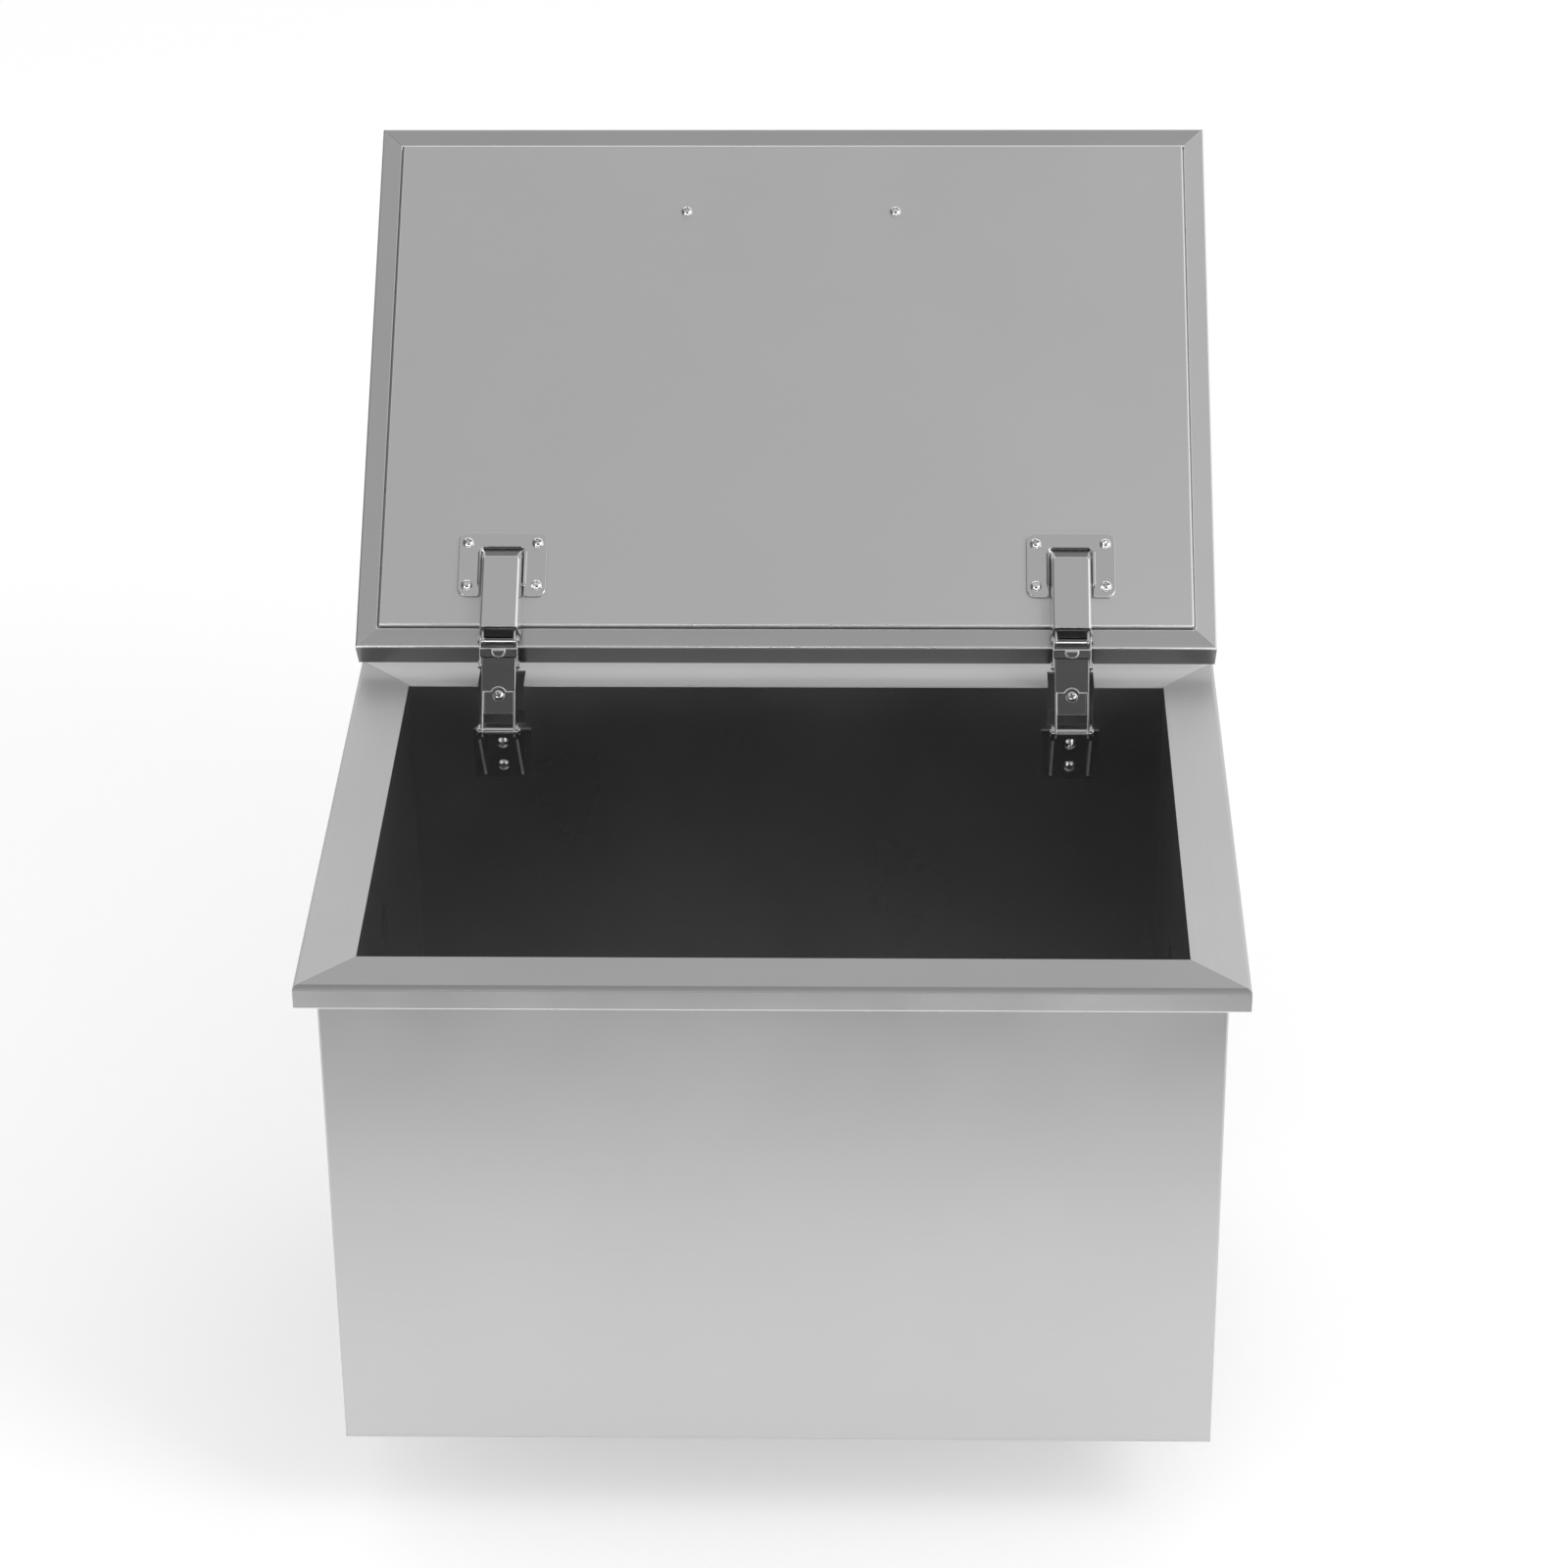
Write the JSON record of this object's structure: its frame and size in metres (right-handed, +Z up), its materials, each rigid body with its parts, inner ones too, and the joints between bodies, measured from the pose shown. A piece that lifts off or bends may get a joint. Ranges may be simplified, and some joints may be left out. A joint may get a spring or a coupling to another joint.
{
  "type": "drop in ice bin",
  "caption": "Insulated stainless steel ice bin that drops into a counter cut-out, with a double-skinned lid on folding link hinges, a bow handle and a plugged floor drain.",
  "frame": {"origin": "middle of the front run of the counter seat, the underside of the rim's inward lip", "axes": "+X to the right as seen from the front, +Y to the rear where the lid is hinged, +Z up"},
  "size_m": [0.508, 0.6403, 0.6061],
  "materials": {
    "satin_steel": "smooth satin",
    "tank_steel": "smooth satin",
    "liner_steel": "smooth satin",
    "polished_steel": "polished",
    "link_steel": "polished",
    "screw_steel": "polished",
    "foam": "rigid foam",
    "rubber": "matt",
    "pipe_plastic": "satin"
  },
  "bodies": {
    "bin": {"rim_flange": "satin_steel", "inner_tank": "tank_steel", "outer_casing": "satin_steel", "casing_bottom": "satin_steel", "wall_insulation": "foam", "floor_insulation": "foam", "drain_body": "polished_steel", "drain_gasket": "rubber", "drain_lock_nut": "polished_steel", "drain_tailpipe": "pipe_plastic", "hinge_pocket_left": "tank_steel", "tank_bracket_left": "polished_steel", "tank_pin_left": "polished_steel", "bracket_screw_upper_left": "screw_steel", "bracket_screw_lower_left": "screw_steel", "hinge_pocket_right": "tank_steel", "tank_bracket_right": "polished_steel", "tank_pin_right": "polished_steel", "bracket_screw_upper_right": "screw_steel", "bracket_screw_lower_right": "screw_steel"},
    "drain_plug": {"drain_plug": "rubber"},
    "lid": {"lid_outer_pan": "satin_steel", "lid_inner_panel": "liner_steel", "lid_insulation": "foam", "lid_handle": "polished_steel", "handle_screw_1": "screw_steel", "handle_screw_2": "screw_steel", "hinge_arm_left": "polished_steel", "hinge_plate_left": "polished_steel", "hinge_arm_right": "polished_steel", "hinge_plate_right": "polished_steel", "plate_screw_left_1": "screw_steel", "plate_screw_left_2": "screw_steel", "plate_screw_left_3": "screw_steel", "plate_screw_left_4": "screw_steel", "plate_screw_right_1": "screw_steel", "plate_screw_right_2": "screw_steel", "plate_screw_right_3": "screw_steel", "plate_screw_right_4": "screw_steel"},
    "link_left": {"link_channel_left": "link_steel", "link_inner_arm_left": "link_steel", "link_screw_left": "screw_steel"},
    "yoke_left": {"yoke_left": "polished_steel", "link_pin_left": "polished_steel", "lid_pin_left": "polished_steel"},
    "link_right": {"link_channel_right": "link_steel", "link_inner_arm_right": "link_steel", "link_screw_right": "screw_steel"},
    "yoke_right": {"yoke_right": "polished_steel", "link_pin_right": "polished_steel", "lid_pin_right": "polished_steel"}
  },
  "joints": [
    {"name": "link_left_swing", "type": "hinge", "parent": "bin", "child": "link_left", "pos_m": [-0.1685, 0.30775, -0.0028], "axis": [1, 0, 0], "range_deg": [-58.8, 0]},
    {"name": "yoke_left_swing", "type": "hinge", "parent": "link_left", "child": "yoke_left", "pos_m": [-0.1685, 0.32899, 0.02991], "axis": [1, 0, 0], "range_deg": [0, 84]},
    {"name": "link_right_swing", "type": "hinge", "parent": "bin", "child": "link_right", "pos_m": [0.1685, 0.30775, -0.0028], "axis": [1, 0, 0], "range_deg": [-58.8, 0]},
    {"name": "yoke_right_swing", "type": "hinge", "parent": "link_right", "child": "yoke_right", "pos_m": [0.1685, 0.32899, 0.02991], "axis": [1, 0, 0], "range_deg": [0, 84]},
    {"name": "lid_fold", "type": "hinge", "parent": "yoke_left", "child": "lid", "pos_m": [-0.1685, 0.334, 0.04352], "axis": [1, 0, 0], "range_deg": [0, 118.1]},
    {"name": "drain_plug_lift", "type": "slide", "parent": "bin", "child": "drain_plug", "axis": [0, 0, 1], "range_m": [0, 0.05]}
  ],
  "couplings": [
    {"joint": "link_left_swing", "follows": "lid_fold", "ratio": -0.4978},
    {"joint": "yoke_left_swing", "follows": "lid_fold", "ratio": 0.7112},
    {"joint": "link_right_swing", "follows": "lid_fold", "ratio": -0.4978},
    {"joint": "yoke_right_swing", "follows": "lid_fold", "ratio": 0.7112}
  ]
}
